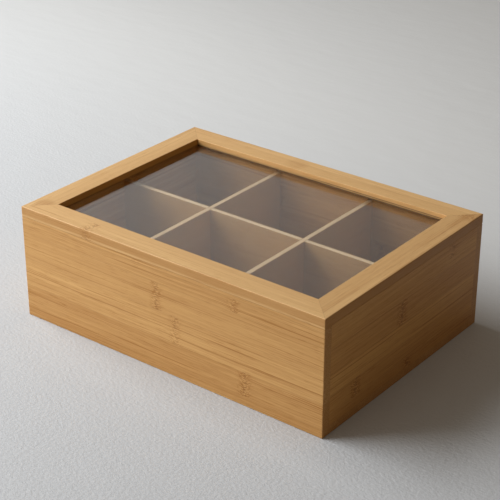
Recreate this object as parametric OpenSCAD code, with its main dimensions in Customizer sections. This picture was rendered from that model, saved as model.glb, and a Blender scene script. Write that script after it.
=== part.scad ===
// Tea bag organizer box in bamboo. Front and back boards run the full length, with the side boards
// butted and dowelled between them, and a base board set in a rabbet. Three halved dividers make six
// compartments. The lid is a mitred frame with an acrylic window, on two narrow butt hinges. A small
// bevel on each side of the back seam makes room for it to swing, and the two bevels meet to stop it
// just past upright.
// The origin is the middle of the underside, +X is to the right, -Y to the front and +Z up.
// All sizes are in millimetres.

/* [Box] */
// Outside length, left to right
box_l = 290; // [220:1:360]
// Outside depth, front to back
box_w = 210; // [150:1:260]
// Height with the lid closed
box_h = 96; // [70:1:140]
// Thickness of the front and back boards
wall_t = 8; // [8:0.5:12]
// Thickness of the left and right boards
side_t = 8; // [7:0.5:12]
// Thickness of the base board
base_t = 7; // [5:0.5:10]
// Depth of the base board's rabbet into the front and back boards
base_rabbet = 4; // [2:0.5:5]
// Radius of the outside edges
edge_r = 0.7; // [0.3:0.1:1.5]

/* [Dividers] */
// Thickness of the divider boards
divider_t = 4; // [3:0.5:6]
// How far the dividers' tops lie below the rim
divider_drop = 7; // [1:0.5:20]
// How far the long divider stands behind the box's middle
divider_set_back = 6; // [0:1:15]
// Depth of the grooves that hold the dividers' ends
groove_d = 2.5; // [1:0.5:4]
// Clearance on each side of a divider in its grooves and halving joints
divider_gap = 0.1; // [0.05:0.05:0.3]
// Radius of the dividers' top edges
divider_r = 0.4; // [0.2:0.1:1]

/* [Lid] */
// Thickness of the lid's frame
lid_t = 8; // [7:0.5:12]
// Width of the lid's rails
rail_w = 20.5; // [16:0.5:32]
// Gap between the closed lid and the rim
seam = 0.2; // [0.2:0.1:0.6]
// Thickness of the window pane
pane_t = 2; // [1.5:0.5:3]
// How far the pane reaches under each rail
pane_bearing = 4.5; // [3:0.5:8]
// Clearance between the pane's edge and its rabbet
pane_gap = 0.4; // [0.2:0.1:1]
// How far the pane's underside lies above the lid's underside
pane_set = 0.1; // [0:0.1:0.5]
// Radius of the edge round the window
sight_r = 0.5; // [0.2:0.1:1]
// Radius of the pane's corners
pane_corner_r = 1.5; // [0.5:0.5:4]

/* [Lid corner splines] */
// Thickness of a spline
spline_t = 2; // [1:0.5:2.5]
// Length of a spline along its mitre
spline_l = 13; // [8:1:14]
// Length of a spline across its mitre
spline_across = 11; // [8:1:12]
// Height of the splines above the lid's underside
spline_z = 3.2; // [3.2:0.1:4]
// Clearance all round a spline
spline_gap = 0.1; // [0.05:0.05:0.2]

/* [Hinges] */
// Length of a hinge
hinge_l = 25; // [20:1:40]
// Distance from the box's end to the hinge's middle
hinge_inset = 50; // [35:1:70]
// Distance of the hinge axis from the back face
axis_inset = 1; // [0.8:0.1:1.5]
// Slope of each back bevel, half of the lid's opening angle
bevel_angle = 50; // [46:1:56]
// Outside radius of the barrel
barrel_r = 1.6; // [1.4:0.1:1.9]
// Radius of the hinge pin
pin_r = 0.75; // [0.6:0.05:0.9]
// Radial clearance of the pin in its knuckles
pin_clear = 0.05; // [0.02:0.01:0.1]
// Height of the round head at each end of the pin
pin_head_h = 0.4; // [0.2:0.1:0.6]
// Number of knuckles, the box's leaf having one more than the lid's
knuckles = 5; // [3:2:7]
// Gap between neighbouring knuckles
knuckle_gap = 0.15; // [0.1:0.05:0.3]
// Thickness of a leaf
leaf_t = 0.9; // [0.7:0.1:1.1]
// How far the leaf's free edge stays inside the back board's inner face
leaf_back = 0.3; // [0.1:0.1:0.6]
// Radius of the leaf's outer corners
leaf_corner_r = 0.8; // [0.3:0.1:1.2]
// Clearance round a leaf and barrel in the wood
mortise_gap = 0.25; // [0.1:0.05:0.4]
// Distance between a leaf's two screws
hinge_screw_pitch = 15; // [12:1:16]

/* [Fasteners] */
// Head radius of the hinge screws
hinge_screw_head_r = 1.4; // [1.2:0.1:1.5]
// Shank radius of the hinge screws
hinge_screw_r = 0.7; // [0.5:0.05:0.8]
// Length of the hinge screws in the box
box_hinge_screw_l = 9; // [6:0.5:12]
// Length of the hinge screws in the lid
lid_hinge_screw_l = 5.5; // [4:0.5:6]
// Head radius of the base screws
base_screw_head_r = 2.6; // [2:0.1:3]
// Shank radius of the base screws
base_screw_r = 1.25; // [1:0.05:1.5]
// Length of the base screws
base_screw_l = 22; // [14:1:30]
// Distance of the base screws from the side boards' ends
base_screw_inset = 37; // [15:1:50]
// Clearance of a screw in its hole
screw_gap = 0.05; // [0.02:0.01:0.1]
// Share of a screw's head radius that its cross recess is deep
recess_depth_share = 0.35; // [0.2:0.05:0.4]
// Share of a screw's head radius that its cross recess is wide
recess_width_share = 0.3; // [0.2:0.05:0.4]
// Share of a screw's head radius that its cross recess reaches from the middle
recess_reach_share = 0.65; // [0.5:0.05:0.7]
// Length of a screw's tip, in radii of its shank
screw_tip_share = 2; // [1.5:0.5:3]
// Share of a screw's shank radius that its point is blunt
screw_point_share = 0.2; // [0.1:0.05:0.3]
// Radius of the corner dowels
dowel_r = 2; // [1.5:0.25:2.5]
// Length of the corner dowels
dowel_l = 16; // [12:1:20]
// Depth of a dowel in the front or back board
dowel_seat = 5; // [4:0.5:6]
// Distance of the dowels from the side board's top and bottom edges
dowel_inset = 18; // [10:1:25]
// Clearance round a dowel and beyond its ends
dowel_gap = 0.05; // [0.02:0.01:0.1]

/* [Hidden] */
$fn = 48;
cut = 1; // how far a cutter runs past the face that it opens

rim_z = box_h - lid_t - seam;
lid_z = rim_z + seam;
inner_l = box_l - 2 * side_t;
inner_w = box_w - 2 * wall_t;
compartment_l = (inner_l - 2 * divider_t) / 3;
cross_x = (compartment_l + divider_t) / 2;
divider_top = rim_z - divider_drop;
half_lap = (divider_top - base_t) / 2;
rabbet_w = pane_bearing + pane_gap;
rabbet_d = pane_t + pane_set;
axis_y = box_w / 2 - axis_inset;
axis_z = rim_z + seam / 2;
hinge_x = box_l / 2 - hinge_inset;
leaf_w = wall_t - axis_inset - leaf_back;
hinge_screw_y = (leaf_w + barrel_r + knuckle_gap) / 2;
knuckle_l = hinge_l / knuckles;
dowel_x = box_l / 2 - side_t / 2;
dowel_zs = [base_t + dowel_inset, rim_z - dowel_inset];
base_screw_y = inner_w / 2 - base_screw_inset;

bamboo = [0.80, 0.62, 0.40];
pale_bamboo = [0.86, 0.75, 0.56];
acrylic = [0.72, 0.73, 0.74, 0.45];
brass = [0.78, 0.64, 0.36];
beech = [0.82, 0.68, 0.50];

// What an edge of radius r takes off a corner at the origin of a shape that lies at +x, +y
module corner_waste(r) {
    difference() {
        translate([-cut, -cut]) square(r + cut);
        translate([r, r]) circle(r);
    }
}

// Rectangle from the origin with all four corners rounded
module eased_rect(size, r) {
    difference() {
        square(size);
        corner_waste(r);
        translate([size.x, 0]) rotate(90) corner_waste(r);
        translate(size) rotate(180) corner_waste(r);
        translate([0, size.y]) rotate(270) corner_waste(r);
    }
}

// Extrudes a section drawn in Y and Z along X, centred
module along_x(length) {
    translate([-length / 2, 0, 0]) rotate([90, 0, 90]) linear_extrude(length) children();
}

// The closed box's outside form, which eases every outside edge of what is cut to it
module envelope() {
    intersection() {
        translate([-box_l / 2, -box_w / 2, 0]) linear_extrude(box_h) eased_rect([box_l, box_w], edge_r);
        translate([0, -box_w / 2, 0]) along_x(box_l) eased_rect([box_w, box_h], edge_r);
        rotate(90) translate([0, -box_l / 2, 0]) along_x(box_w) eased_rect([box_l, box_h], edge_r);
    }
}

// Block between two corners
module block(low, high) {
    translate(low) cube(high - low);
}

// Countersunk screw that points down, with the top of its head at the origin
module screw(head_r, shank_r, length) {
    tip_l = shank_r * screw_tip_share;
    head_h = head_r - shank_r;
    slot = head_r * recess_width_share;
    reach = head_r * recess_reach_share;
    difference() {
        union() {
            translate([0, 0, -head_h]) cylinder(h = head_h, r1 = shank_r, r2 = head_r);
            translate([0, 0, tip_l - length]) cylinder(h = length - tip_l - head_h, r = shank_r);
            translate([0, 0, -length]) cylinder(h = tip_l, r1 = shank_r * screw_point_share, r2 = shank_r);
        }
        for (turn = [0, 90])
            rotate(turn)
                translate([-reach, -slot / 2, -head_r * recess_depth_share])
                    cube([2 * reach, slot, head_r]);
    }
}

// Hole that such a screw sits in, down to its tip
module screw_hole(head_r, shank_r, length) {
    head_h = head_r - shank_r;
    translate([0, 0, -head_h]) cylinder(h = head_h, r1 = shank_r + screw_gap, r2 = head_r + screw_gap);
    translate([0, 0, -length - screw_gap]) cylinder(h = length + screw_gap, r = shank_r + screw_gap);
    cylinder(h = cut, r = head_r + screw_gap);
}

// Carcass

// Puts what is drawn at the front of the box at its back instead
module at_back() {
    mirror([0, 1, 0]) children();
}

// Puts what is drawn at the right of the box at its left instead
module at_left() {
    mirror([1, 0, 0]) children();
}

// Corner dowels of the right front corner, longer and fatter by gap to cut their holes
module dowel_pair(gap = 0) {
    for (z = dowel_zs)
        translate([dowel_x, -box_w / 2 + wall_t - dowel_seat - gap, z])
            rotate([-90, 0, 0]) cylinder(h = dowel_l + 2 * gap, r = dowel_r + gap);
}

module all_dowels(gap = 0) {
    for (front = [0, 1], right = [0, 1])
        mirror([1 - right, 0, 0]) mirror([0, 1 - front, 0]) dowel_pair(gap);
}

// Groove for a divider's end, in a board whose inner face stands at x = 0 with its wood at +x
module divider_groove() {
    block([-cut, -divider_t / 2 - divider_gap, base_t],
          [groove_d, divider_t / 2 + divider_gap, rim_z + cut]);
}

// Front board before what only the back board has
module long_board() {
    difference() {
        intersection() {
            envelope();
            block([-box_l / 2, -box_w / 2, 0], [box_l / 2, -box_w / 2 + wall_t, rim_z]);
        }
        block([-box_l / 2 - cut, -box_w / 2 + wall_t - base_rabbet, -cut],
              [box_l / 2 + cut, -box_w / 2 + wall_t + cut, base_t]);
        for (side = [-1, 1])
            translate([side * cross_x, -inner_w / 2, 0]) rotate(-90) divider_groove();
        all_dowels(dowel_gap);
    }
}

module side_board() {
    difference() {
        intersection() {
            envelope();
            block([inner_l / 2, -inner_w / 2, base_t], [box_l / 2, inner_w / 2, rim_z]);
        }
        translate([inner_l / 2, divider_set_back, 0]) divider_groove();
        all_dowels(dowel_gap);
        base_screw_places() screw_hole(base_screw_head_r, base_screw_r, base_screw_l);
    }
}

// Puts a screw under the base, point up, below each end of both side boards
module base_screw_places() {
    for (side = [-1, 1], y = [-base_screw_y, base_screw_y])
        translate([side * dowel_x, y, 0]) mirror([0, 0, 1]) children();
}

module front_board() {
    color(bamboo) long_board();
}

module back_board() {
    color(bamboo)
        difference() {
            at_back() long_board();
            back_bevel();
            for (side = [-1, 1])
                at_hinge(side) {
                    leaf_mortise(wall_t - axis_inset + cut);
                    hinge_screw_places() screw_hole(hinge_screw_head_r, hinge_screw_r, box_hinge_screw_l);
                }
        }
}

module left_board() {
    color(bamboo) at_left() side_board();
}

module right_board() {
    color(bamboo) side_board();
}

module base_board() {
    reach_y = inner_w / 2 + base_rabbet;
    color(bamboo)
        difference() {
            intersection() {
                envelope();
                block([-box_l / 2, -reach_y, 0], [box_l / 2, reach_y, base_t]);
            }
            base_screw_places() screw_hole(base_screw_head_r, base_screw_r, base_screw_l);
        }
}

module corner_dowels() {
    color(beech) all_dowels();
}

module base_screws() {
    color(brass) base_screw_places() screw(base_screw_head_r, base_screw_r, base_screw_l);
}

// Dividers

// Divider that spans the inside along X and lies on the base, with its top edges eased
module divider(span) {
    translate([0, -divider_t / 2, base_t])
        along_x(span + 2 * (groove_d - divider_gap))
            difference() {
                square([divider_t, divider_top - base_t]);
                translate([0, divider_top - base_t]) rotate(270) corner_waste(divider_r);
                translate([divider_t, divider_top - base_t]) rotate(180) corner_waste(divider_r);
            }
}

// Slot of a halving joint at the origin, for a divider that crosses
module lap_slot(low, high) {
    half = divider_t / 2 + divider_gap;
    block([-half, -divider_t, low], [half, divider_t, high]);
}

module long_divider() {
    color(pale_bamboo)
        translate([0, divider_set_back, 0])
            difference() {
                divider(inner_l);
                for (side = [-1, 1])
                    translate([side * cross_x, 0, 0]) lap_slot(base_t + half_lap - divider_gap, rim_z);
            }
}

module cross_divider(side) {
    color(pale_bamboo)
        translate([side * cross_x, 0, 0]) rotate(90)
            difference() {
                divider(inner_w);
                translate([divider_set_back, 0, 0]) lap_slot(base_t - cut, base_t + half_lap);
            }
}

module cross_divider_left() {
    cross_divider(-1);
}

module cross_divider_right() {
    cross_divider(1);
}

// Lid

// Section of a rail: its outer face at the left, the pane's rabbet at the lower right
module rail_section() {
    difference() {
        square([rail_w, lid_t]);
        translate([rail_w - rabbet_w, -cut]) square([rabbet_w + cut, rabbet_d + cut]);
        translate([rail_w, lid_t]) rotate(180) corner_waste(sight_r);
    }
}

// Mitred front rail of a frame of that length and depth, about the middle of the frame's underside
module mitred_rail(length, depth) {
    translate([0, -depth / 2, 0])
        intersection() {
            along_x(length) rail_section();
            linear_extrude(lid_t)
                polygon([
                    [-length / 2, 0], [length / 2, 0],
                    [length / 2 - rail_w, rail_w], [-length / 2 + rail_w, rail_w]
                ]);
        }
}

// Flat keys across the four mitres, larger by gap to cut their slots
module splines(gap = 0) {
    reach = [box_l / 2 - rail_w / 2, box_w / 2 - rail_w / 2];
    for (x = [-1, 1], y = [-1, 1])
        translate([x * reach.x, y * reach.y, lid_z + spline_z - gap])
            rotate(x * y * 45)
                linear_extrude(spline_t + 2 * gap)
                    square([spline_l + 2 * gap, spline_across + 2 * gap], center = true);
}

// Cuts a rail to the box's outside form and bevel, and slots it for its splines
module finish_rail() {
    color(bamboo)
        difference() {
            intersection() {
                envelope();
                translate([0, 0, lid_z]) children();
            }
            over_seam() back_bevel();
            splines(spline_gap);
        }
}

module lid_front_rail() {
    finish_rail() mitred_rail(box_l, box_w);
}

module lid_back_rail() {
    color(bamboo)
        difference() {
            finish_rail() at_back() mitred_rail(box_l, box_w);
            for (side = [-1, 1])
                over_seam() at_hinge(side) {
                    leaf_mortise(leaf_w + mortise_gap);
                    hinge_screw_places() screw_hole(hinge_screw_head_r, hinge_screw_r, lid_hinge_screw_l);
                }
        }
}

module lid_left_rail() {
    finish_rail() rotate(-90) mitred_rail(box_w, box_l);
}

module lid_right_rail() {
    finish_rail() rotate(90) mitred_rail(box_w, box_l);
}

module lid_corner_splines() {
    color(beech) splines();
}

module window_pane() {
    size = [box_l - 2 * (rail_w - pane_bearing), box_w - 2 * (rail_w - pane_bearing)];
    color(acrylic)
        translate([-size.x / 2, -size.y / 2, lid_z + pane_set])
            linear_extrude(pane_t) eased_rect(size, pane_corner_r);
}

// Hinges

// Puts what is drawn about a hinge's middle on its axis, left at -1 and right at 1
module at_hinge(side) {
    translate([side * hinge_x, axis_y, axis_z]) children();
}

// Turns what is drawn below the seam into its twin above the seam
module over_seam() {
    translate([0, 0, 2 * axis_z]) mirror([0, 0, 1]) children();
}

// Waste behind the hinge axis, above a plane that falls away from the axis at the bevel's slope
module back_bevel() {
    run = axis_inset + cut;
    translate([0, axis_y, axis_z])
        along_x(box_l + 2 * cut)
            polygon([[0, 0], [run, -run * tan(bevel_angle)], [run, cut], [0, cut]]);
}

// One knuckle of the barrel, counted from the hinge's left end, with its ends moved out by grow
module knuckle(k, r, grow) {
    translate([-hinge_l / 2 + k * knuckle_l - grow, 0, 0])
        rotate([0, 90, 0]) cylinder(h = knuckle_l + 2 * grow, r = r);
}

module hinge_screw_places() {
    for (x = [-hinge_screw_pitch / 2, hinge_screw_pitch / 2])
        translate([x, -hinge_screw_y, -seam / 2]) children();
}

// Leaf that lies under the seam, with every second knuckle from the one numbered first
module hinge_leaf(first, screw_l) {
    plate = [hinge_l, leaf_w];
    color(brass)
        difference() {
            union() {
                translate([0, 0, -seam / 2 - leaf_t])
                    linear_extrude(leaf_t)
                        translate([-hinge_l / 2, -leaf_w])
                            difference() {
                                square(plate);
                                corner_waste(leaf_corner_r);
                                translate([hinge_l, 0]) rotate(90) corner_waste(leaf_corner_r);
                            }
                for (k = [first : 2 : knuckles - 1])
                    knuckle(k, barrel_r, -knuckle_gap / 2);
            }
            for (k = [1 - first : 2 : knuckles - 1])
                knuckle(k, barrel_r + knuckle_gap, knuckle_gap / 2);
            rotate([0, 90, 0]) cylinder(h = hinge_l + 2 * cut, r = pin_r + pin_clear, center = true);
            hinge_screw_places() screw_hole(hinge_screw_head_r, hinge_screw_r, screw_l);
        }
}

// Room in the wood for a leaf that reaches that far from the axis, and for the barrel
module leaf_mortise(reach) {
    half = hinge_l / 2 + mortise_gap;
    block([-half, -reach, -seam / 2 - leaf_t], [half, 0, -seam / 2 + cut]);
    rotate([0, 90, 0])
        cylinder(h = hinge_l + 2 * (pin_head_h + mortise_gap), r = barrel_r + mortise_gap, center = true);
}

module box_hinge_leaf_left() {
    at_hinge(-1) hinge_leaf(0, box_hinge_screw_l);
}

module box_hinge_leaf_right() {
    at_hinge(1) hinge_leaf(0, box_hinge_screw_l);
}

module lid_hinge_leaf_left() {
    over_seam() at_hinge(-1) hinge_leaf(1, lid_hinge_screw_l);
}

module lid_hinge_leaf_right() {
    over_seam() at_hinge(1) hinge_leaf(1, lid_hinge_screw_l);
}

// Pin with a flat round head at each end, which keeps it in the knuckles
module hinge_pin() {
    color(brass)
        rotate([0, 90, 0]) {
            cylinder(h = hinge_l, r = pin_r, center = true);
            for (end = [0, 1])
                mirror([0, 0, end])
                    translate([0, 0, hinge_l / 2])
                        cylinder(h = pin_head_h, r1 = pin_r + 2 * pin_clear, r2 = pin_r / 2);
        }
}

module hinge_pin_left() {
    at_hinge(-1) hinge_pin();
}

module hinge_pin_right() {
    at_hinge(1) hinge_pin();
}

module box_hinge_screws() {
    color(brass)
        for (side = [-1, 1])
            at_hinge(side) hinge_screw_places() screw(hinge_screw_head_r, hinge_screw_r, box_hinge_screw_l);
}

module lid_hinge_screws() {
    color(brass)
        for (side = [-1, 1])
            over_seam() at_hinge(side)
                hinge_screw_places() screw(hinge_screw_head_r, hinge_screw_r, lid_hinge_screw_l);
}

front_board();
back_board();
left_board();
right_board();
base_board();
long_divider();
cross_divider_left();
cross_divider_right();
corner_dowels();
base_screws();
lid_front_rail();
lid_back_rail();
lid_left_rail();
lid_right_rail();
lid_corner_splines();
window_pane();
box_hinge_leaf_left();
box_hinge_leaf_right();
lid_hinge_leaf_left();
lid_hinge_leaf_right();
hinge_pin_left();
hinge_pin_right();
box_hinge_screws();
lid_hinge_screws();
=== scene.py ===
import math

import bpy
from mathutils import Matrix, Vector


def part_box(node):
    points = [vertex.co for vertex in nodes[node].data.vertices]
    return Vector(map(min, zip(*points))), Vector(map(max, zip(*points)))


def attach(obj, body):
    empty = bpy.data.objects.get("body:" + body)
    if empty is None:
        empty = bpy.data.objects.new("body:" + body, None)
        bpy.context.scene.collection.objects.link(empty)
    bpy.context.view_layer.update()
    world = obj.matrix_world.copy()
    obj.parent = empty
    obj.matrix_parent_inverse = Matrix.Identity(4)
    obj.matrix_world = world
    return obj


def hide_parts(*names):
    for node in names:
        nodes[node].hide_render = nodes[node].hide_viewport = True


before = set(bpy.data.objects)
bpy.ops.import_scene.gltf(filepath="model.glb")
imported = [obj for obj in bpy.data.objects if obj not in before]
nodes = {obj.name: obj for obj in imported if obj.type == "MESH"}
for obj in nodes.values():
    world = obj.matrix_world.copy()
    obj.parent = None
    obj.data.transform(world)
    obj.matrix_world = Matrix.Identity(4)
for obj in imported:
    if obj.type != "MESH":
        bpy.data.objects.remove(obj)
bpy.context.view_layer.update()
mm = 0.001
print("frame loaded:", len(nodes), "nodes")


# A socket of a node tree that Python's operators work on. They are for plain values only.
class Wire:
    def __init__(self, graph, socket):
        self.graph = graph
        self.socket = socket

    def math(self, operation, *others):
        values = dict(enumerate((self,) + others))
        return self.graph.node("ShaderNodeMath", {"operation": operation}, values)[0]

    def __add__(self, other):
        return self.math("ADD", other)

    __radd__ = __add__

    def __sub__(self, other):
        return self.math("SUBTRACT", other)

    def __rsub__(self, other):
        return self.math("MULTIPLY", -1.0).math("ADD", other)

    def __mul__(self, other):
        return self.math("MULTIPLY", other)

    __rmul__ = __mul__

    def __truediv__(self, other):
        return self.math("DIVIDE", other)

    def __neg__(self):
        return self.math("MULTIPLY", -1.0)

    def __abs__(self):
        return self.math("ABSOLUTE")

    def __pow__(self, other):
        return self.math("POWER", other)

    def __gt__(self, other):
        return self.math("GREATER_THAN", other)

    def __lt__(self, other):
        return self.math("LESS_THAN", other)

    def least(self, other):
        return self.math("MINIMUM", other)

    def most(self, other):
        return self.math("MAXIMUM", other)

    def clamp(self):
        return self.graph.node("ShaderNodeClamp", {}, {"Value": self})[0]

    def fade(self, start, end):
        # 0 at start and 1 at end, eased between them, whichever is larger
        low, high, flip = (start, end, False) if start < end else (end, start, True)
        eased = self.graph.node("ShaderNodeMapRange", {"interpolation_type": "SMOOTHSTEP"},
                                {"Value": self, "From Min": low, "From Max": high})["Result"]
        return 1 - eased if flip else eased


# The node tree of a material, a world or a Geometry Nodes modifier.
# node() adds any node and returns its outputs, by name or number.
class Graph:
    def __init__(self, owner, tree=None):
        if tree is None:
            owner.use_nodes = True
            tree = owner.node_tree
        self.owner = owner
        self.tree = tree
        self.tree.nodes.clear()

    def node(self, kind, settings, values):
        made = self.tree.nodes.new(kind)
        for key, setting in settings.items():
            if key == "stops":
                self.setStops(made.color_ramp, setting)
            else:
                setattr(made, key, setting)
        for key, value in values.items():
            socket = self.find(made.inputs, key)
            for link in value if isinstance(value, list) else [value]:
                if isinstance(link, Wire):
                    self.tree.links.new(link.socket, socket)
                else:
                    socket.default_value = link
        return Outputs(self, made)

    def find(self, sockets, key):
        if isinstance(key, int):
            return sockets[key]
        return next(socket for socket in sockets if socket.enabled and socket.name == key)

    def setStops(self, ramp, stops):
        while len(ramp.elements) < len(stops):
            ramp.elements.new(1.0)
        for element, (place, colour) in zip(ramp.elements, stops):
            element.position = place
            element.color = colour

    def place(self):
        # the point on the object, in mm
        point = self.node("ShaderNodeTexCoord", {}, {})["Object"]
        scaled = self.node("ShaderNodeVectorMath", {"operation": "SCALE"}, {"Vector": point, "Scale": 1 / mm})
        return self.split(scaled["Vector"])

    def split(self, vector):
        parts = self.node("ShaderNodeSeparateXYZ", {}, {"Vector": vector})
        return [parts[i] for i in range(3)]

    def join(self, x, y, z):
        return self.node("ShaderNodeCombineXYZ", {}, {"X": x, "Y": y, "Z": z})[0]

    def noise(self, vector, detail=2.0, rough=0.5):
        values = {"Vector": vector, "Scale": 1.0, "Detail": detail, "Roughness": rough}
        return self.node("ShaderNodeTexNoise", {}, values)["Fac"]

    def blend(self, share, first, second):
        values = {"Factor": share, "A": first, "B": second}
        return self.node("ShaderNodeMix", {"data_type": "RGBA"}, values)["Result"]

    def finish(self, shader, output="ShaderNodeOutputMaterial"):
        self.node(output, {}, {"Surface": shader})
        return self.owner


class Outputs:
    def __init__(self, graph, made):
        self.graph = graph
        self.made = made

    def __getitem__(self, key):
        return Wire(self.graph, self.graph.find(self.made.outputs, key))


def newMaterial(name):
    return Graph(bpy.data.materials.new(name))


# Camera

# Measured from the photograph's perspective of the box's corners
cameraValues = {
    "azimuth": 37.978, "elevation": 26.749, "roll": 0.060,
    "distance": 1.17366, "right": -0.00077, "up": 0.05474, "focal": 105.205, "sensor": 36, "near": 0.05, "far": 50,
}


def makeCamera(values):
    azimuth, elevation, roll = (math.radians(values[key]) for key in ("azimuth", "elevation", "roll"))
    level = math.cos(elevation)
    back = Vector((math.sin(azimuth) * level, -math.cos(azimuth) * level, math.sin(elevation)))
    right = Vector((math.cos(azimuth), math.sin(azimuth), 0))
    up = back.cross(right)
    turned = math.cos(roll) * right + math.sin(roll) * up
    upright = math.cos(roll) * up - math.sin(roll) * right
    data = bpy.data.cameras.new("camera")
    data.sensor_width = values["sensor"]
    data.lens = values["focal"]
    data.clip_start = values["near"]
    data.clip_end = values["far"]
    camera = bpy.data.objects.new("camera", data)
    stand = turned * values["right"] + upright * values["up"] + back * values["distance"]
    camera.matrix_world = Matrix.Translation(stand) @ Matrix((turned, upright, back)).transposed().to_4x4()
    bpy.context.scene.collection.objects.link(camera)
    bpy.context.scene.camera = camera


makeCamera(cameraValues)


# Floor and light

lampValues = {
    "aim": (0, 0, 0.05),
    "window": {"place": (-1.05, -0.45, 0.93), "size": (1.4, 0.9), "power": 31, "colour": (1.0, 0.995, 0.985)},
    "lowWindow": {"place": (-0.35, -1.10, 0.09), "size": (0.8, 0.14), "power": 2.6, "colour": (1.0, 0.90, 0.76)},
}


def makeLamp(name):
    values = lampValues[name]
    data = bpy.data.lights.new(name, "AREA")
    data.shape = "RECTANGLE"
    data.size, data.size_y = values["size"]
    data.energy = values["power"]
    data.color = values["colour"]
    lamp = bpy.data.objects.new(name, data)
    lamp.visible_camera = lamp.visible_transmission = False  # not seen, nor through the pane
    turned = (Vector(lampValues["aim"]) - Vector(values["place"])).to_track_quat("-Z", "Y")
    lamp.matrix_world = Matrix.Translation(values["place"]) @ turned.to_matrix().to_4x4()
    bpy.context.scene.collection.objects.link(lamp)


# Light that reaches the object is dim, and cooler from above. Gloss and glass see a room with a pale side,
# which lies the pale way, and the span is where it fades in.
roomValues = {
    "light": (0.150, 0.105, 0.062), "above": (0.185, 0.152, 0.118), "aboveSpan": (0.1, 0.8),
    "darkSide": (0.22, 0.20, 0.155), "paleSide": (0.91, 0.935, 0.94),
    "paleWay": (-0.78, -0.60, 0.12), "paleSpan": (-0.30, 0.42),
}


def makeRoom(values):
    graph = Graph(bpy.data.worlds.new("room"))
    x, y, z = graph.split(graph.node("ShaderNodeTexCoord", {}, {})["Generated"])
    east, north, high = values["paleWay"]
    pale = (x * east + y * north + z * high).fade(*values["paleSpan"])
    seen = graph.blend(pale, (*values["darkSide"], 1), (*values["paleSide"], 1))
    rays = graph.node("ShaderNodeLightPath", {}, {})
    shown = rays["Is Camera Ray"].most(rays["Is Glossy Ray"]).most(rays["Is Transmission Ray"])
    shown = shown * (rays["Diffuse Depth"] < 0.5)
    dim = graph.blend(z.fade(*values["aboveSpan"]), (*values["light"], 1), (*values["above"], 1))
    colour = graph.blend(shown, dim, seen)
    bpy.context.scene.world = graph.finish(
        graph.node("ShaderNodeBackground", {}, {"Color": colour})[0], "ShaderNodeOutputWorld")


# A pale cloth, smoother far away and painted paler there, a painted gradient of light towards the back. Its size
# is in metres, its relief in mm, and its weave and creases are in waves per mm.
floorValues = {
    "size": 7.0, "near": (0.52, 0.55, 0.585), "far": (0.665, 0.693, 0.713), "farWay": (0.20, 0.98),
    "farSpan": (-130, 420), "weave": (0.30, 0.42), "creases": (0.02, 0.05), "relief": 0.55, "smoothFar": 0.9,
    "roughness": 0.9, "gloss": 0.2,
}


def makeFloor(values):
    graph = newMaterial("floor")
    x, y, z = graph.place()
    weave, creases = values["weave"], values["creases"]
    threads = graph.noise(graph.join(x * weave[0], y * weave[1], z), 3.0, 0.6)
    folds = graph.noise(graph.join(x * creases[0], y * creases[1], z), 2.0)
    east, north = values["farWay"]
    far = (x * east + y * north).fade(*values["farSpan"])
    bump = graph.node("ShaderNodeBump", {}, {
        "Strength": 1.0, "Distance": values["relief"] * mm,
        "Height": threads * (1 - far * values["smoothFar"]) + folds})[0]
    # painted light: the cloth's colour grows paler towards the back
    colour = graph.blend(far, (*values["near"], 1), (*values["far"], 1))
    shader = graph.node("ShaderNodeBsdfPrincipled", {}, {
        "Base Color": colour, "Roughness": values["roughness"], "Specular IOR Level": values["gloss"],
        "Normal": bump})[0]
    half = values["size"] / 2
    mesh = bpy.data.meshes.new("floor")
    mesh.from_pydata([(-half, -half, 0), (half, -half, 0), (half, half, 0), (-half, half, 0)], [], [(0, 1, 2, 3)])
    mesh.materials.append(graph.finish(shader))
    floor = bpy.data.objects.new("floor", mesh)
    bpy.context.scene.collection.objects.link(floor)


bpy.context.scene.view_settings.view_transform = "Standard"
makeLamp("window")
makeLamp("lowWindow")
makeRoom(roomValues)
makeFloor(floorValues)
print("camera, floor and light made")


# Bamboo

# Shades run from 0, light, to 1, dark
bambooTones = {
    "light": (0.655, 0.392, 0.150), "dark": (0.385, 0.176, 0.042), "knot": (0.22, 0.10, 0.03),
    # the gap colour is a dark gap and also painted shade along the pane
    "glue": (0.30, 0.16, 0.06), "gap": (0.05, 0.022, 0.006),
    # the inner faces' colour is painted shade, warm as from bounced light
    "edgeFace": (0.36, 0.15, 0.022), "paintedShadeInner": (0.64, 0.29, 0.045),
    "base": 0.33, "fibres": 0.60, "streaks": 1.00, "clouds": 0.30, "veins": 0.50, "pores": 0.34,
    "calmInside": 0.80, "roughness": 0.46, "relief": 0.10, "gloss": 0.32,
}
railTones = {**bambooTones, "light": (0.685, 0.445, 0.20), "dark": (0.425, 0.22, 0.072)}
# partly painted sheen: a paler copy for the front and back rails, their own lighter tone with painted sheen on
# their tops
sheenPaleRailTones = {**bambooTones, "light": (0.725, 0.475, 0.215), "dark": (0.45, 0.235, 0.078)}
# painted shade: a darker, more saturated copy of the bamboo for the right board, the side that lies in shade
shadedSideTones = {**bambooTones, "light": (0.60, 0.320, 0.092), "dark": (0.33, 0.13, 0.022)}
# painted light: the dividers' upward faces turn to a paler colour, where light through the pane falls on them
dividerTones = {
    **bambooTones, "light": (0.67, 0.43, 0.19), "dark": (0.44, 0.24, 0.08), "paintedLitTop": (0.90, 0.68, 0.43),
    "fibres": 0.40, "streaks": 0.55, "veins": 0.2,
}
longTones = {**dividerTones, "paintedLitTop": (0.96, 0.76, 0.50)}
beechTones = {
    **bambooTones, "light": (0.66, 0.45, 0.26), "dark": (0.52, 0.32, 0.16),
    "fibres": 0.40, "streaks": 0.55, "veins": 0.2,
}
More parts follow.
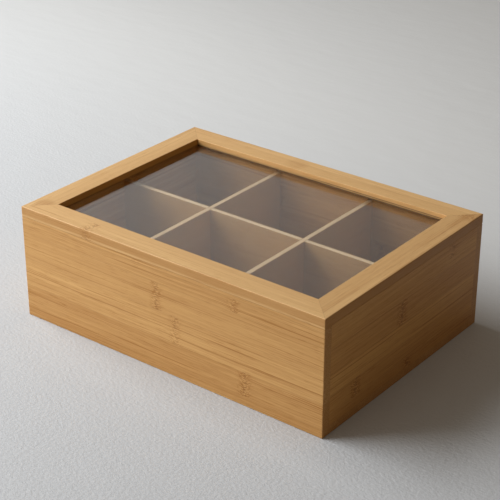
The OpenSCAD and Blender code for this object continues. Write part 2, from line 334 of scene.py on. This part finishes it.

# Each board, in mm: the axes of its grain and of its strips' width; its strips as (where it ends, shade added),
# the last to the board's edge; its knots as (from, to, place along the grain, strength); and its dark patches as
# (along, across, reach along, reach across, shade added). The outer and inner face values are how far those
# faces turn to the tones' colours, the inner one to painted shade; layerEnd is how far down the outer one goes,
# and the shares how dark its joint lines are.
boards = {
    "front_board": {
        "grain": 0, "across": 2, "tones": bambooTones,
        "strips": [(7.5, 0.22), (28, 0.17), (51.5, -0.06), (74, 0.01), (85, 0.07), (89, 0.03)],
        "knots": [(51.5, 74, -7, 0.70), (28, 51.5, 11, 0.60), (74, 85, 66, 0.65), (8, 28, 76, 1.05),
                  (85, 89, -28, 0.4)]},
    "back_board": {
        "grain": 0, "across": 2, "tones": bambooTones,
        "strips": [(9, 0.12), (24, 0.02), (46, 0.12), (69, 0.0), (89, 0.08)],
        "knots": [(9, 24, -88, 1.0), (24, 46, 58, 1.0), (46, 69, -46, 1.0), (69, 89, 112, 0.3)]},
    "right_board": {
        # its tones are painted shade, darker for the side away from the lamps
        "grain": 1, "across": 2, "tones": shadedSideTones,
        "strips": [(16, 0.14), (31, 0.08), (48, -0.12), (68, 0.10), (89, -0.02)],
        "knots": [(48, 68, -7, 1.4), (16, 31, -65, 1.6), (7, 16, 4, 1.1), (76, 89, 62, 0.6)]},
    "left_board": {
        "grain": 1, "across": 2, "tones": bambooTones,
        "strips": [(24, 0.10), (45, 0.0), (67, 0.09), (89, 0.02)],
        "knots": [(24, 45, 38, 1.1), (45, 67, -52, 1.0), (67, 89, 20, 0.9)]},
    "base_board": {
        "grain": 0, "across": 1, "tones": bambooTones,
        "strips": [(-84, 0.05), (-63, 0.12), (-42, 0.0), (-21, 0.10), (0, 0.03),
                   (21, 0.13), (42, 0.0), (63, 0.08), (84, 0.15), (105, 0.02)],
        "knots": [(-63, -42, 70, 1.1), (-21, 0, -45, 1.1), (0, 21, 96, 1.0), (42, 63, -102, 1.1),
                  (-105, -84, -20, 1.0), (63, 84, 30, 1.1)]},
    "lid_front_rail": {
        "grain": 0, "across": 1, "tones": sheenPaleRailTones, "strips": [(-91, -0.02), (-84, 0.06)],
        "knots": [(-106, -92, -76, 0.85)], "patches": [(48, -105, 34, 3, 0.12)],
        "outerFace": 0.55, "layerEnd": 6.6},
    "lid_back_rail": {
        "grain": 0, "across": 1, "tones": sheenPaleRailTones, "strips": [(96.5, 0.04), (106, -0.03)],
        "knots": [], "patches": [(-25, 94, 13, 13, 0.20)], "paintedShadeInner": 0.26, "footShare": 0.62,
        "quirkSpan": (20, -60)},
    "lid_left_rail": {
        "grain": 1, "across": 0, "tones": railTones, "strips": [(-131, -0.04), (-124, 0.04)], "knots": [],
        "patches": [(-91, -134, 11, 10, 0.40)], "paintedShadeInner": 0.80, "paneShare": 0.45},
    "lid_right_rail": {
        "grain": 1, "across": 0, "tones": railTones, "strips": [(133.5, 0.06), (139, 0.15), (146, 0.0)],
        "knots": [(124, 146, 95, 1.0)], "patches": [(98, 146, 17, 20, 0.45), (78, 140, 16, 9, 0.15)],
        "outerFace": 0.80, "layerEnd": 12},
    "long_divider": {
        "grain": 0, "across": 2, "tones": longTones, "strips": [(30, 0.05), (55, -0.03), (82, 0.02)],
        "knots": [(30, 55, -80, 0.6), (7, 30, 20, 0.6)]},
    "cross_divider_left": {
        "grain": 1, "across": 2, "tones": dividerTones, "strips": [(28, 0.0), (50, 0.06), (82, 0.0)],
        "knots": [(28, 50, 45, 0.6)]},
    "cross_divider_right": {
        "grain": 1, "across": 2, "tones": dividerTones, "strips": [(34, 0.04), (59, -0.02), (82, 0.03)],
        "knots": [(34, 59, -38, 0.6)]},
    "corner_dowels": {"grain": 1, "across": 2, "tones": beechTones, "strips": [(96, 0.0)], "knots": []},
    "lid_corner_splines": {"grain": 1, "across": 2, "tones": beechTones, "strips": [(96, 0.0)], "knots": []},
}
# Half widths of the dark lines in mm, and how dark they are. The foot is painted shade on the rail just above the
# pane, the pane line a dark gap with a painted shadow along the pane, and the quirk a fine line above it.
jointLines = {
    "glueLine": 0.12, "glueShare": 0.35, "mitreLine": 0.16, "mitreShare": 0.45, "paneLine": 0.7, "paneShare": 0.75,
    "quirkLine": 0.22, "quirkShare": 0.75, "quirkHeight": 2.2, "footReach": 3.4, "footShare": 0.15,
}
# Each pattern of the grain as waves per mm along it and across it, finer detail, and roughness. Then where the
# patterns that are marks begin and are full.
grainWaves = {
    "fibres": (0.030, 1.9, 3.0, 0.65), "streaks": (0.009, 0.60, 3.0, 0.72), "clouds": (0.006, 0.08, 1.0, 0.5),
    "veins": (0.006, 0.75, 1.0, 0.5), "pores": (0.085, 2.3, 1.0, 0.5), "dashes": (0.34, 1.3, 2.0, 0.65),
}
grainMarks = {"veins": (0.62, 0.70), "pores": (0.58, 0.72), "dashes": (0.42, 0.60)}
# Strips start at a random place of the pattern, wander sideways and are more or less lively
stripShape = {
    "lotAlong": 900, "lotDeep": 370, "wander": 2.4, "wanderWaves": (0.012, 0.05), "calmest": 0.65, "livelier": 0.7,
}
knotShape = {
    "waves": 0.22, "uneven": 8, "reach": (8.5, 0.5), "swell": 1.5, "dashes": 1.05, "paler": 0.20,
    "line": (2.2, 0.2), "lineShare": 0.36, "darkest": 0.75,
}
faceShape = {
    "turn": (0.6, 0.8), "endContrast": 1.4, "endMiddle": 0.35, "endDarker": 0.25, "layerSoft": 1.4,
    "inwardFrom": 10, "paintedLitTop": 0.92, "upperFibres": 0.4,
}
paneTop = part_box("window_pane")[1].z / mm
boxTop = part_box("lid_front_rail")[1].z / mm
boxHalf = Vector((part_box("base_board")[1].x, -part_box("front_board")[0].y)) / mm


def paint(node, material):
    for slot in nodes[node].material_slots:
        slot.material = material


# One of the grain's patterns, at a point given along the grain, across it and into the wood
def wave(graph, kind, along, wide, deep, shift=0):
    lengthways, sideways, detail, rough = grainWaves[kind]
    far = along * lengthways + shift if shift else along * lengthways
    made = graph.noise(graph.join(far, wide * sideways, deep * sideways), detail, rough)
    return made.fade(*grainMarks[kind]) if kind in grainMarks else made


def lotOf(graph, number):
    return graph.node("ShaderNodeTexWhiteNoise", {"noise_dimensions": "1D"}, {"W": number})["Value"]


def bamboo(name, board, seed):
    tones = board["tones"]
    graph = newMaterial(name)
    place = graph.place()
    facing = graph.split(graph.node("ShaderNodeTexCoord", {}, {})["Normal"])
    grain, across = board["grain"], board["across"]
    along, wide, deep = place[grain], place[across], place[3 - grain - across]
    inset = (boxHalf.x - abs(place[0])).least(boxHalf.y - abs(place[1]))
    inward = inset > faceShape["inwardFrom"]

    # each strip has its own shade and its own fibres
    joints = [end for end, shade in board["strips"][:-1]]
    strip = sum(((wide > joint) for joint in joints), seed * 10)
    lot = lotOf(graph, strip)
    lively = stripShape["calmest"] + stripShape["livelier"] * lotOf(graph, strip + 0.5)
    lively = lively * (1 - inward * tones["calmInside"])
    shade = tones["base"] + board["strips"][0][1]
    for joint, (end, before), (nextEnd, after) in zip(joints, board["strips"], board["strips"][1:]):
        shade = (wide > joint) * (after - before) + shade
    lengthways, sideways = stripShape["wanderWaves"]
    drift = graph.noise(graph.join(along * lengthways, wide * sideways, deep * sideways + seed), 1.0) - 0.5
    u, v = along + lot * stripShape["lotAlong"], wide + drift * stripShape["wander"]
    w = deep + lot * stripShape["lotDeep"]

    # fine lines, wider streaks, soft clouds, long dark veins, and the short dark dashes of cut vessels
    fibres = wave(graph, "fibres", u, v, w)
    streaks = wave(graph, "streaks", u, v, w)
    clouds = wave(graph, "clouds", u, v, w)
    veins = wave(graph, "veins", u, v, w, 31)
    pores = wave(graph, "pores", u, v, w, 11)
    lines = (fibres - 0.5) * tones["fibres"] + (streaks - 0.5) * tones["streaks"] + veins * tones["veins"]
    shade = shade + lines * lively
    shade = shade + (clouds - 0.5) * tones["clouds"] + pores * tones["pores"]
    for far, side, reach, width, darker in board.get("patches", []):
        off = ((along - far) / reach) ** 2 + ((wide - side) / width) ** 2
        shade = shade + off.fade(1, 0) * darker

    # at a knot the fibres swell apart and break up into short dashes round an uneven dark line
    core = None
    for low, high, middle, strength in board["knots"]:
        inside = (wide > low) * (wide < high)
        sideways = knotShape["waves"]
        wobble = graph.noise(graph.join(wide * sideways, deep * sideways, seed + middle), 2.0) - 0.5
        away = abs(along - middle + wobble * knotShape["uneven"])
        near = away.fade(*knotShape["reach"]) * inside
        dashes = wave(graph, "dashes", along, v + near * knotShape["swell"], w)
        shade = shade + near * (dashes * knotShape["dashes"] - knotShape["paler"]) * strength
        line = away.fade(*knotShape["line"]) * inside * dashes * (knotShape["lineShare"] * strength)
        core = line if core is None else core + line

    # end grain, the outer faces' darker layer, painted light on the upward faces, and painted shade on the inner
    # faces
    ends = abs(facing[grain]).fade(*faceShape["turn"])
    endGrain = (fibres - faceShape["endMiddle"]) * faceShape["endContrast"] + faceShape["endDarker"]
    shade = shade + ends * endGrain
    colour = graph.blend(shade.clamp(), (*tones["light"], 1), (*tones["dark"], 1))
    edgeOn = abs(facing[across]).fade(*faceShape["turn"])
    top = boxTop - place[2]
    if "outerFace" in board:
        layer = top.fade(board["layerEnd"] + faceShape["layerSoft"], board["layerEnd"] - faceShape["layerSoft"])
        skin = edgeOn * (1 - inward) * layer * board["outerFace"]
        colour = graph.blend(skin, colour, (*tones["edgeFace"], 1))
    # painted light: upward faces are painted paler
    if "paintedLitTop" in tones:
        litTopShare = facing[2].fade(*faceShape["turn"]) * (faceShape["paintedLitTop"] - fibres * faceShape["upperFibres"])
        colour = graph.blend(litTopShare, colour, (*tones["paintedLitTop"], 1))
    # painted shade: the rails' inner faces turn to a dark, warm colour, as in shade lit by bounced light
    if "paintedShadeInner" in board:
        colour = graph.blend(edgeOn * inward * board["paintedShadeInner"], colour, (*tones["paintedShadeInner"], 1))
    if core:
        colour = graph.blend(core.least(knotShape["darkest"]), colour, (*tones["knot"], 1))

    # glue lines and mitres, and on a lid's rail a painted shadow and dark gap along the pane, on its inner face
    # alone
    seams = [("glue", abs(wide - joint)) for joint in joints]
    dark = []
    if name.startswith("lid") and name.endswith("rail"):
        seams.append(("mitre", abs((boxHalf.x - abs(place[0])) - (boxHalf.y - abs(place[1])))))
        outside = (1 - inward) * faceShape["inwardFrom"]
        overPane = abs(place[2] - paneTop) + outside
        # painted shade: the rail's inner face darkens towards the pane
        footShade = overPane.fade(jointLines["footReach"], 0) * board.get("footShare", jointLines["footShare"])
        colour = graph.blend(footShade, colour, (*tones["gap"], 1))
        dark.append(("pane", overPane))
        if "quirkSpan" in board:
            overQuirk = abs(place[2] - (paneTop + jointLines["quirkHeight"])) + outside
            dark.append(("quirk", overQuirk + place[0].fade(*board["quirkSpan"])))
    for kinds, ink in ((seams, "glue"), (dark, "gap")):
        drawn = None
        for kind, away in kinds:
            width = jointLines[kind + "Line"]
            share = board.get(kind + "Share", jointLines[kind + "Share"])
            line = away.fade(width * 2, width * 0.5) * share
            drawn = line if drawn is None else drawn.most(line)
        if drawn:
            colour = graph.blend(drawn, colour, (*tones[ink], 1))

    rough = tones["roughness"] + (fibres - 0.5) * 0.20 + pores * 0.12
    height = fibres * 0.5 + streaks * 0.4 - pores * 0.3
    bump = graph.node("ShaderNodeBump", {}, {
        "Strength": 1.0, "Distance": tones["relief"] * mm, "Height": height})[0]
    return graph.finish(graph.node("ShaderNodeBsdfPrincipled", {}, {
        "Base Color": colour, "Roughness": rough, "Normal": bump, "Specular IOR Level": tones["gloss"]})[0])


for seed, (name, board) in enumerate(boards.items()):
    paint(name, bamboo(name, board, seed))
print("bamboo painted:", len(boards), "nodes")


# Window pane

# The tint colours what is seen through the pane, and the shade the lamps' light that comes through
paneValues = {
    "tint": (0.905, 0.90, 0.885), "shade": (0.50, 0.495, 0.485), "ior": 1.49,
    "upperRoughness": 0.04, "lowerRoughness": 0.15, "upperTurn": (0.3, 0.7),
}


def acrylic(values):
    graph = newMaterial("acrylic")
    facing = graph.split(graph.node("ShaderNodeTexCoord", {}, {})["Normal"])
    upper = facing[2].fade(*values["upperTurn"])
    roughness = values["lowerRoughness"] + upper * (values["upperRoughness"] - values["lowerRoughness"])
    glass = graph.node("ShaderNodeBsdfPrincipled", {}, {
        "Base Color": (*values["tint"], 1), "Roughness": roughness, "IOR": values["ior"],
        "Transmission Weight": 1.0})[0]
    clear = graph.node("ShaderNodeBsdfTransparent", {}, {"Color": (*values["shade"], 1)})[0]
    shadow = graph.node("ShaderNodeLightPath", {}, {})["Is Shadow Ray"]
    return graph.finish(graph.node("ShaderNodeMixShader", {}, {0: shadow, 1: glass, 2: clear})[0])


paint("window_pane", acrylic(paneValues))


# Brass

# Brushed along X, with soft darker spots of tarnish. Patterns in waves per mm, relief in mm.
brassValues = {
    "hinge": {"colour": (0.72, 0.55, 0.28), "roughness": 0.30},
    "screw": {"colour": (0.76, 0.60, 0.33), "roughness": 0.24},
    "brushed": (0.12, 5), "spots": 0.35, "spotSpan": (0.45, 0.75), "spotShare": 0.45, "spotDark": 0.62,
    "relief": 0.02,
}


def brass(name, values):
    graph = newMaterial(name)
    x, y, z = graph.place()
    (lengthways, sideways), spots = brassValues["brushed"], brassValues["spots"]
    brushed = graph.noise(graph.join(x * lengthways, y * sideways, z * sideways), 2.0)
    tarnish = graph.noise(graph.join(x * spots, y * spots, z * spots + 7), 4.0, 0.6).fade(*brassValues["spotSpan"])
    dull = [part * brassValues["spotDark"] for part in values["colour"]]
    colour = graph.blend(tarnish * brassValues["spotShare"], (*values["colour"], 1), (*dull, 1))
    bump = graph.node("ShaderNodeBump", {}, {
        "Strength": 0.5, "Distance": brassValues["relief"] * mm, "Height": brushed})[0]
    rough = values["roughness"] + brushed * 0.12 + tarnish * 0.18
    shader = graph.node("ShaderNodeBsdfPrincipled", {}, {
        "Base Color": colour, "Metallic": 1.0, "Roughness": rough, "Normal": bump})[0]
    return graph.finish(shader)


hingeBrass = brass("hingeBrass", brassValues["hinge"])
screwBrass = brass("screwBrass", brassValues["screw"])
for name in ("box_hinge_leaf_left", "box_hinge_leaf_right", "lid_hinge_leaf_left", "lid_hinge_leaf_right",
             "hinge_pin_left", "hinge_pin_right"):
    paint(name, hingeBrass)
print("hinges painted")


# Screws

# Sizes in mm: the radii of head and shank, the pitch from one turn of the thread to the next, the length of the
# point, and the spacing of a hinge leaf's two screws
screwSizes = {
    "base_screws": {
        "body": "box", "up": True, "spacing": None, "head": 2.6, "shank": 1.25, "pitch": 1.7, "tip": 3.0},
    "box_hinge_screws": {
        "body": "box", "up": False, "spacing": 15, "head": 1.4, "shank": 0.7, "pitch": 0.9, "tip": 1.6},
    "lid_hinge_screws": {
        "body": "lid", "up": True, "spacing": 15, "head": 1.4, "shank": 0.7, "pitch": 0.9, "tip": 1.4},
}
# Shares of the shank's radius, of its length and of the head's radius, but weld in mm and crease in degrees
screwShape = {
    "around": 36, "discRows": 3, "coneRows": 3, "rowsPerTurn": 7, "threadDepth": 0.30, "threadSpan": (0.15, 0.75),
    "plain": 0.12, "threadStart": 0.04, "tipRound": 0.3, "recessReach": 0.60, "recessWidth": 0.28,
    "recessDepth": 0.62, "recessTaper": 0.45, "weld": 0.004, "crease": 32, "seed": 5,
}


# A countersunk wood screw that points down from the origin, set on each point of the mesh it modifies
def screwTree(shape):
    tree = bpy.data.node_groups.new("woodScrew", "GeometryNodeTree")
    graph = Graph(tree, tree)
    sockets = tree.interface
    sockets.new_socket("Places", in_out="INPUT", socket_type="NodeSocketGeometry")
    for name in ("Head Radius", "Shank Radius", "Length", "Tip", "Pitch"):
        sockets.new_socket(name, in_out="INPUT", socket_type="NodeSocketFloat")
    for name in ("Rows", "Seed"):
        sockets.new_socket(name, in_out="INPUT", socket_type="NodeSocketInt")
    sockets.new_socket("Turn", in_out="INPUT", socket_type="NodeSocketVector")
    sockets.new_socket("Finish", in_out="INPUT", socket_type="NodeSocketMaterial")
    sockets.new_socket("Screws", in_out="OUTPUT", socket_type="NodeSocketGeometry")
    given = graph.node("NodeGroupInput", {}, {})
    head, shank, length = given["Head Radius"], given["Shank Radius"], given["Length"]
    tip, pitch = given["Tip"], given["Pitch"]
    coneHeight = head - shank

    # a grid whose rows run from the middle of the head down to the point, wrapped round the axis
    rows = given["Rows"]
    grid = graph.node("GeometryNodeMeshGrid", {}, {
        "Size X": 1.0, "Size Y": 1.0, "Vertices X": shape["around"] + 1, "Vertices Y": rows + 1})["Mesh"]
    across, down, flat = graph.split(graph.node("GeometryNodeInputPosition", {}, {})[0])
    angle = (across + 0.5) * (2 * math.pi)
    row = ((0.5 - down) * rows).math("ROUND")
    onDisc = (row / shape["discRows"]).clamp()
    onCone = ((row - shape["discRows"]) / shape["coneRows"]).clamp()
    headRows = shape["discRows"] + shape["coneRows"]
    onShank = ((row - headRows) / (rows - headRows)).clamp()
    depth = onCone * coneHeight + onShank * (length - coneHeight)
    point = ((depth - length + tip) / tip).clamp()
    turn = (depth / pitch + angle / (2 * math.pi)).math("FRACT")
    ridge = abs(turn - 0.5) * 2
    threaded = ((onShank - shape["plain"]) / shape["threadStart"]).clamp()
    core = shank * (1 - threaded * shape["threadDepth"] * ridge.fade(*shape["threadSpan"]))
    pointed = 1 - point * point * shape["tipRound"] - point * (1 - shape["tipRound"])
    radius = (head * onDisc - (head - core) * onCone) * pointed
    onThread = graph.join(radius * angle.math("COSINE"), radius * angle.math("SINE"), -depth)
    wrapped = graph.node("GeometryNodeSetPosition", {}, {"Geometry": grid, "Position": onThread})[0]
    closed = graph.node("GeometryNodeMergeByDistance", {}, {
        "Geometry": wrapped, "Distance": shape["weld"] * mm})[0]

    # the cross recess narrows towards its bottom
    reach, width, deep = (head * shape[key] for key in ("recessReach", "recessWidth", "recessDepth"))
    arms = []
    for size in (graph.join(reach * 2, width, deep * 2), graph.join(width, reach * 2, deep * 2)):
        arm = graph.node("GeometryNodeMeshCube", {}, {"Size": size})["Mesh"]
        x, y, z = graph.split(graph.node("GeometryNodeInputPosition", {}, {})[0])
        narrow = 1 - (0 - z / deep).clamp() * shape["recessTaper"]
        arms.append(graph.node("GeometryNodeSetPosition", {}, {
            "Geometry": arm, "Position": graph.join(x * narrow, y * narrow, z)})[0])
    cut = graph.node("GeometryNodeMeshBoolean", {"operation": "DIFFERENCE", "solver": "EXACT"}, {
        "Mesh 1": closed, "Mesh 2": arms})["Mesh"]
    smooth = graph.node("GeometryNodeSetShadeSmooth", {"domain": "FACE"}, {
        "Geometry": cut, "Shade Smooth": True})[0]
    corner = graph.node("GeometryNodeInputMeshEdgeAngle", {}, {})["Unsigned Angle"] > math.radians(shape["crease"])
    crisp = graph.node("GeometryNodeSetShadeSmooth", {"domain": "EDGE"}, {
        "Geometry": smooth, "Selection": corner, "Shade Smooth": False})[0]

    # every screw stops at its own turn
    twist = graph.node("FunctionNodeRandomValue", {"data_type": "FLOAT"}, {
        "Min": 0.0, "Max": math.pi / 2, "Seed": given["Seed"]})["Value"]
    placed = graph.node("GeometryNodeInstanceOnPoints", {}, {
        "Points": given["Places"], "Instance": crisp,
        "Rotation": graph.node("FunctionNodeEulerToRotation", {}, {"Euler": given["Turn"]})[0]})[0]
    turned = graph.node("GeometryNodeRotateInstances", {}, {
        "Instances": placed,
        "Rotation": graph.node("FunctionNodeEulerToRotation", {}, {"Euler": graph.join(0.0, 0.0, twist)})[0]})[0]
    real = graph.node("GeometryNodeRealizeInstances", {}, {"Geometry": turned})[0]
    painted = graph.node("GeometryNodeSetMaterial", {}, {"Geometry": real, "Material": given["Finish"]})[0]
    graph.node("NodeGroupOutput", {}, {"Screws": painted})
    return tree


# Screw heads stand where the node's own heads do
def screwPlaces(node, sizes):
    low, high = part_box(node)
    head = sizes["head"] * mm
    z = low.z if sizes["up"] else high.z
    if sizes["spacing"] is None:
        return [(x, y, z) for x in (low.x + head, high.x - head) for y in (low.y + head, high.y - head)]
    step = sizes["spacing"] * mm
    y = (low.y + high.y) / 2
    return [(x, y, z) for x in (low.x + head, low.x + head + step, high.x - head - step, high.x - head)]


def makeScrews(node, sizes, shape, tree):
    low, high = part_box(node)
    mesh = bpy.data.meshes.new(node + "Places")
    mesh.from_pydata(screwPlaces(node, sizes), [], [])
    made = bpy.data.objects.new(node + "Places", mesh)
    bpy.context.scene.collection.objects.link(made)
    modifier = made.modifiers.new("screws", "NODES")
    modifier.node_group = tree
    length = high.z - low.z
    turns = length / (sizes["pitch"] * mm)
    inputs = {
        "Head Radius": sizes["head"] * mm, "Shank Radius": sizes["shank"] * mm, "Length": length,
        "Tip": sizes["tip"] * mm, "Pitch": sizes["pitch"] * mm, "Seed": shape["seed"],
        "Rows": shape["discRows"] + shape["coneRows"] + round(turns * shape["rowsPerTurn"]),
        "Turn": (math.pi if sizes["up"] else 0.0, 0.0, 0.0), "Finish": screwBrass,
    }
    for item in tree.interface.items_tree:
        if item.in_out == "INPUT" and item.name in inputs:
            modifier[item.identifier] = inputs[item.name]
    bpy.context.view_layer.update()
    settled = made.evaluated_get(bpy.context.evaluated_depsgraph_get())
    plain = bpy.data.meshes.new_from_object(settled)
    made.modifiers.remove(modifier)
    bpy.data.objects.remove(made)
    piece = bpy.data.objects.new(node.split("_screws")[0] + "_wood_screws", plain)
    bpy.context.scene.collection.objects.link(piece)
    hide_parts(node)
    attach(piece, sizes["body"])
    print(piece.name, len(plain.vertices), "points")


woodScrew = screwTree(screwShape)
for name, sizes in screwSizes.items():
    makeScrews(name, sizes, screwShape, woodScrew)
